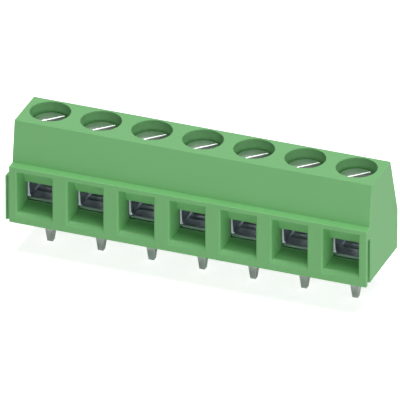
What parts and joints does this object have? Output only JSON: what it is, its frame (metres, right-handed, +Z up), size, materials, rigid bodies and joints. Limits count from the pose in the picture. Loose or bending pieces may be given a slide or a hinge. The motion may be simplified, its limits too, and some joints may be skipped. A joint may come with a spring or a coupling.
{
  "type": "pcb screw terminal block",
  "caption": "Green screw terminal block for a circuit board: wires enter funnels in front, slotted screws on top clamp them in sleeves, solder pins below",
  "frame": {"origin": "on the board's surface, in the middle of the row of solder pins", "axes": "+X along the row of poles, +Y to the back, +Z up; wires enter from -Y and screwdrivers from +Z"},
  "size_m": [0.0361, 0.0084, 0.0137],
  "materials": {
    "green_polyamide": "moulded, satin",
    "tinned_copper_alloy": "tin plated, satin",
    "nickel_plated_brass": "nickel plated, satin",
    "zinc_plated_steel": "zinc plated, bright"
  },
  "bodies": {
    "terminal_block": {"housing": "green_polyamide", "solder_contact_1": "tinned_copper_alloy", "solder_contact_2": "tinned_copper_alloy", "solder_contact_3": "tinned_copper_alloy", "solder_contact_4": "tinned_copper_alloy", "solder_contact_5": "tinned_copper_alloy", "solder_contact_6": "tinned_copper_alloy", "solder_contact_7": "tinned_copper_alloy"},
    "screw_1": {"clamp_screw_1": "zinc_plated_steel"},
    "sleeve_1": {"tension_sleeve_1": "nickel_plated_brass"},
    "screw_2": {"clamp_screw_2": "zinc_plated_steel"},
    "sleeve_2": {"tension_sleeve_2": "nickel_plated_brass"},
    "screw_3": {"clamp_screw_3": "zinc_plated_steel"},
    "sleeve_3": {"tension_sleeve_3": "nickel_plated_brass"},
    "screw_4": {"clamp_screw_4": "zinc_plated_steel"},
    "sleeve_4": {"tension_sleeve_4": "nickel_plated_brass"},
    "screw_5": {"clamp_screw_5": "zinc_plated_steel"},
    "sleeve_5": {"tension_sleeve_5": "nickel_plated_brass"},
    "screw_6": {"clamp_screw_6": "zinc_plated_steel"},
    "sleeve_6": {"tension_sleeve_6": "nickel_plated_brass"},
    "screw_7": {"clamp_screw_7": "zinc_plated_steel"},
    "sleeve_7": {"tension_sleeve_7": "nickel_plated_brass"}
  },
  "joints": [
    {"name": "screw_turn_1", "type": "hinge", "parent": "terminal_block", "child": "screw_1", "pos_m": [-0.01524, 0, 0.007], "axis": [0, 0, 1], "range_deg": [-1432, 200]},
    {"name": "screw_turn_2", "type": "hinge", "parent": "terminal_block", "child": "screw_2", "pos_m": [-0.01016, 0, 0.007], "axis": [0, 0, 1], "range_deg": [-1432, 200]},
    {"name": "screw_turn_3", "type": "hinge", "parent": "terminal_block", "child": "screw_3", "pos_m": [-0.00508, 0, 0.007], "axis": [0, 0, 1], "range_deg": [-1432, 200]},
    {"name": "screw_turn_4", "type": "hinge", "parent": "terminal_block", "child": "screw_4", "pos_m": [0, 0, 0.007], "axis": [0, 0, 1], "range_deg": [-1432, 200]},
    {"name": "screw_turn_5", "type": "hinge", "parent": "terminal_block", "child": "screw_5", "pos_m": [0.00508, 0, 0.007], "axis": [0, 0, 1], "range_deg": [-1432, 200]},
    {"name": "screw_turn_6", "type": "hinge", "parent": "terminal_block", "child": "screw_6", "pos_m": [0.01016, 0, 0.007], "axis": [0, 0, 1], "range_deg": [-1432, 200]},
    {"name": "screw_turn_7", "type": "hinge", "parent": "terminal_block", "child": "screw_7", "pos_m": [0.01524, 0, 0.007], "axis": [0, 0, 1], "range_deg": [-1432, 200]},
    {"name": "sleeve_lift_1", "type": "slide", "parent": "terminal_block", "child": "sleeve_1", "axis": [0, 0, 1], "range_m": [-0.00025, 0.00179]},
    {"name": "sleeve_lift_2", "type": "slide", "parent": "terminal_block", "child": "sleeve_2", "axis": [0, 0, 1], "range_m": [-0.00025, 0.00179]},
    {"name": "sleeve_lift_3", "type": "slide", "parent": "terminal_block", "child": "sleeve_3", "axis": [0, 0, 1], "range_m": [-0.00025, 0.00179]},
    {"name": "sleeve_lift_4", "type": "slide", "parent": "terminal_block", "child": "sleeve_4", "axis": [0, 0, 1], "range_m": [-0.00025, 0.00179]},
    {"name": "sleeve_lift_5", "type": "slide", "parent": "terminal_block", "child": "sleeve_5", "axis": [0, 0, 1], "range_m": [-0.00025, 0.00179]},
    {"name": "sleeve_lift_6", "type": "slide", "parent": "terminal_block", "child": "sleeve_6", "axis": [0, 0, 1], "range_m": [-0.00025, 0.00179]},
    {"name": "sleeve_lift_7", "type": "slide", "parent": "terminal_block", "child": "sleeve_7", "axis": [0, 0, 1], "range_m": [-0.00025, 0.00179]}
  ],
  "couplings": [
    {"joint": "screw_turn_1", "follows": "sleeve_lift_1", "rad_per_m": -13963},
    {"joint": "screw_turn_2", "follows": "sleeve_lift_2", "rad_per_m": -13963},
    {"joint": "screw_turn_3", "follows": "sleeve_lift_3", "rad_per_m": -13963},
    {"joint": "screw_turn_4", "follows": "sleeve_lift_4", "rad_per_m": -13963},
    {"joint": "screw_turn_5", "follows": "sleeve_lift_5", "rad_per_m": -13963},
    {"joint": "screw_turn_6", "follows": "sleeve_lift_6", "rad_per_m": -13963},
    {"joint": "screw_turn_7", "follows": "sleeve_lift_7", "rad_per_m": -13963}
  ]
}
